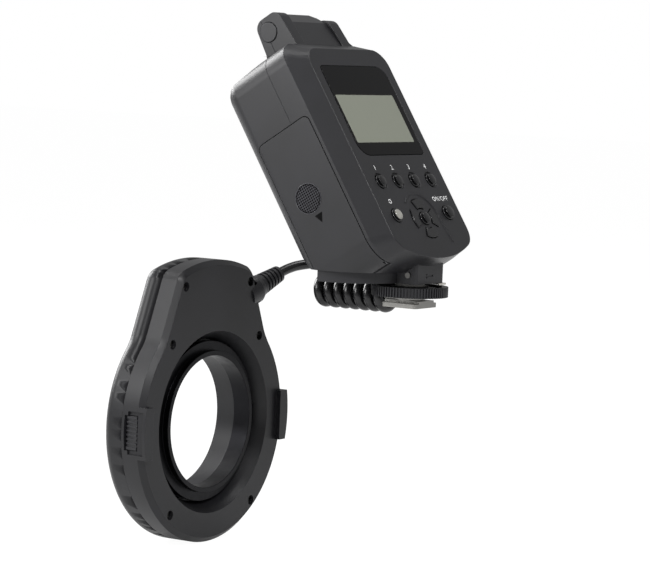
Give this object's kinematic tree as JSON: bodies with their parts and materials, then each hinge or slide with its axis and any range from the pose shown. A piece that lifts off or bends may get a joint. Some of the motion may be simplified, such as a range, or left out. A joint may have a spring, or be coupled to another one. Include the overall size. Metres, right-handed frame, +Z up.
{
  "type": "macro ring flash",
  "caption": "Macro ring flash: a tilted control unit with display, keys and battery door on a hot-shoe foot, and a ring head with release buttons on a short curly cord.",
  "frame": {"origin": "centre of the hot-shoe foot's underside", "axes": "+Z up, +Y the way the flash fires, +X to the right seen from behind the control unit"},
  "size_m": [0.1303, 0.1442, 0.2491],
  "materials": {
    "shell_plastic": "satin moulded ABS",
    "ring_plastic": "satin moulded ABS",
    "window_acrylic": "polished",
    "display_panel": "liquid crystal panel",
    "key_rubber": "moulded",
    "pilot_lens": "translucent",
    "tray_plastic": "moulded",
    "board_laminate": "laminate",
    "component_can": "sleeved",
    "cell_jacket": "sleeved",
    "bright_steel": "plated",
    "foot_metal": "plated",
    "contact_gold": "plated",
    "diffuser_clear": "clear with fine ribs",
    "reflector_bright": "polished",
    "tube_glass": "clear",
    "adapter_black": "black anodised",
    "cord_rubber": "glossy"
  },
  "bodies": {
    "control_unit": {"rear_shell": "shell_plastic", "front_shell": "shell_plastic", "bridge_cover": "shell_plastic", "hinge_caps": "shell_plastic", "base_block": "shell_plastic", "ring_rear_cover": "ring_plastic", "ring_front_cover": "ring_plastic", "window_plate": "window_acrylic", "display_module": "display_panel", "battery_tray": "tray_plastic", "panel_board": "board_laminate", "power_board": "board_laminate", "ring_board": "board_laminate", "main_capacitor": "component_can", "charging_coil": "component_can", "battery_cells": "cell_jacket", "case_screws": "bright_steel", "base_screws": "bright_steel", "ring_screws": "bright_steel", "stop_clip": "bright_steel", "battery_contacts": "bright_steel", "release_springs": "bright_steel", "shoe_foot": "foot_metal", "left_diffuser": "diffuser_clear", "right_diffuser": "diffuser_clear", "focusing_lamps": "diffuser_clear", "left_reflector": "reflector_bright", "right_reflector": "reflector_bright", "flash_tubes": "tube_glass", "lens_adapter": "adapter_black", "cord_boot": "cord_rubber", "cord_coil": "cord_rubber", "cord_lead": "cord_rubber", "base_gland": "cord_rubber"},
    "function_button_1": {"function_button_1": "key_rubber"},
    "function_button_2": {"function_button_2": "key_rubber"},
    "function_button_3": {"function_button_3": "key_rubber"},
    "function_button_4": {"function_button_4": "key_rubber"},
    "pilot_button": {"pilot_button": "pilot_lens"},
    "power_button": {"power_button": "key_rubber"},
    "set_button": {"set_button": "key_rubber"},
    "pad_up": {"pad_up": "key_rubber"},
    "pad_down": {"pad_down": "key_rubber"},
    "pad_left": {"pad_left": "key_rubber"},
    "pad_right": {"pad_right": "key_rubber"},
    "door_slide": {"door_slide": "tray_plastic"},
    "battery_door": {"battery_door": "shell_plastic"},
    "lock_wheel": {"lock_wheel": "tray_plastic"},
    "lock_plate": {"lock_plate": "foot_metal"},
    "lock_pin": {"lock_pin": "bright_steel"},
    "contact_pins": {"contact_pins": "contact_gold"},
    "left_release": {"left_release": "ring_plastic"},
    "right_release": {"right_release": "ring_plastic"}
  },
  "joints": [
    {"name": "function_button_1_press", "type": "slide", "parent": "control_unit", "child": "function_button_1", "axis": [0, 0.8443, -0.5358], "range_m": [0, 0.0007], "stiffness_N_per_m": 600, "springref_m": -0.0006},
    {"name": "function_button_2_press", "type": "slide", "parent": "control_unit", "child": "function_button_2", "axis": [0, 0.8443, -0.5358], "range_m": [0, 0.0007], "stiffness_N_per_m": 600, "springref_m": -0.0006},
    {"name": "function_button_3_press", "type": "slide", "parent": "control_unit", "child": "function_button_3", "axis": [0, 0.8443, -0.5358], "range_m": [0, 0.0007], "stiffness_N_per_m": 600, "springref_m": -0.0006},
    {"name": "function_button_4_press", "type": "slide", "parent": "control_unit", "child": "function_button_4", "axis": [0, 0.8443, -0.5358], "range_m": [0, 0.0007], "stiffness_N_per_m": 600, "springref_m": -0.0006},
    {"name": "pilot_button_press", "type": "slide", "parent": "control_unit", "child": "pilot_button", "axis": [0, 0.8443, -0.5358], "range_m": [0, 0.0007], "stiffness_N_per_m": 600, "springref_m": -0.0006},
    {"name": "power_button_press", "type": "slide", "parent": "control_unit", "child": "power_button", "axis": [0, 0.8443, -0.5358], "range_m": [0, 0.0007], "stiffness_N_per_m": 600, "springref_m": -0.0006},
    {"name": "set_button_press", "type": "slide", "parent": "control_unit", "child": "set_button", "axis": [0, 0.8443, -0.5358], "range_m": [0, 0.0007], "stiffness_N_per_m": 600, "springref_m": -0.0006},
    {"name": "pad_up_press", "type": "slide", "parent": "control_unit", "child": "pad_up", "axis": [0, 0.8443, -0.5358], "range_m": [0, 0.0007], "stiffness_N_per_m": 600, "springref_m": -0.0006},
    {"name": "pad_down_press", "type": "slide", "parent": "control_unit", "child": "pad_down", "axis": [0, 0.8443, -0.5358], "range_m": [0, 0.0007], "stiffness_N_per_m": 600, "springref_m": -0.0006},
    {"name": "pad_left_press", "type": "slide", "parent": "control_unit", "child": "pad_left", "axis": [0, 0.8443, -0.5358], "range_m": [0, 0.0007], "stiffness_N_per_m": 600, "springref_m": -0.0006},
    {"name": "pad_right_press", "type": "slide", "parent": "control_unit", "child": "pad_right", "axis": [0, 0.8443, -0.5358], "range_m": [0, 0.0007], "stiffness_N_per_m": 600, "springref_m": -0.0006},
    {"name": "door_slide", "type": "slide", "parent": "control_unit", "child": "door_slide", "axis": [0, -0.5358, -0.8443], "range_m": [0, 0.0035]},
    {"name": "door_hinge", "type": "hinge", "parent": "door_slide", "child": "battery_door", "pos_m": [-0.027, -0.00113, 0.01992], "axis": [0, -0.8443, 0.5358], "range_deg": [0, 95]},
    {"name": "wheel_turn", "type": "hinge", "parent": "control_unit", "child": "lock_wheel", "pos_m": [0, 0, 0.007], "axis": [0, 0, 1], "range_deg": [0, 160]},
    {"name": "plate_press", "type": "slide", "parent": "control_unit", "child": "lock_plate", "axis": [0, 0, -1], "range_m": [0, 0.0006]},
    {"name": "pin_drop", "type": "slide", "parent": "control_unit", "child": "lock_pin", "axis": [0, 0, -1], "range_m": [0, 0.0013]},
    {"name": "contact_press", "type": "slide", "parent": "control_unit", "child": "contact_pins", "axis": [0, 0, 1], "range_m": [0, 0.0004], "stiffness_N_per_m": 800, "springref_m": -0.0004},
    {"name": "left_release_press", "type": "slide", "parent": "control_unit", "child": "left_release", "axis": [1, 0, 0], "range_m": [0, 0.0025], "stiffness_N_per_m": 700, "springref_m": -0.001},
    {"name": "right_release_press", "type": "slide", "parent": "control_unit", "child": "right_release", "axis": [-1, 0, 0], "range_m": [0, 0.0025], "stiffness_N_per_m": 700, "springref_m": -0.001}
  ],
  "couplings": [
    {"joint": "plate_press", "follows": "wheel_turn", "m_per_rad": 0.00021484},
    {"joint": "pin_drop", "follows": "wheel_turn", "m_per_rad": 0.00046548}
  ]
}
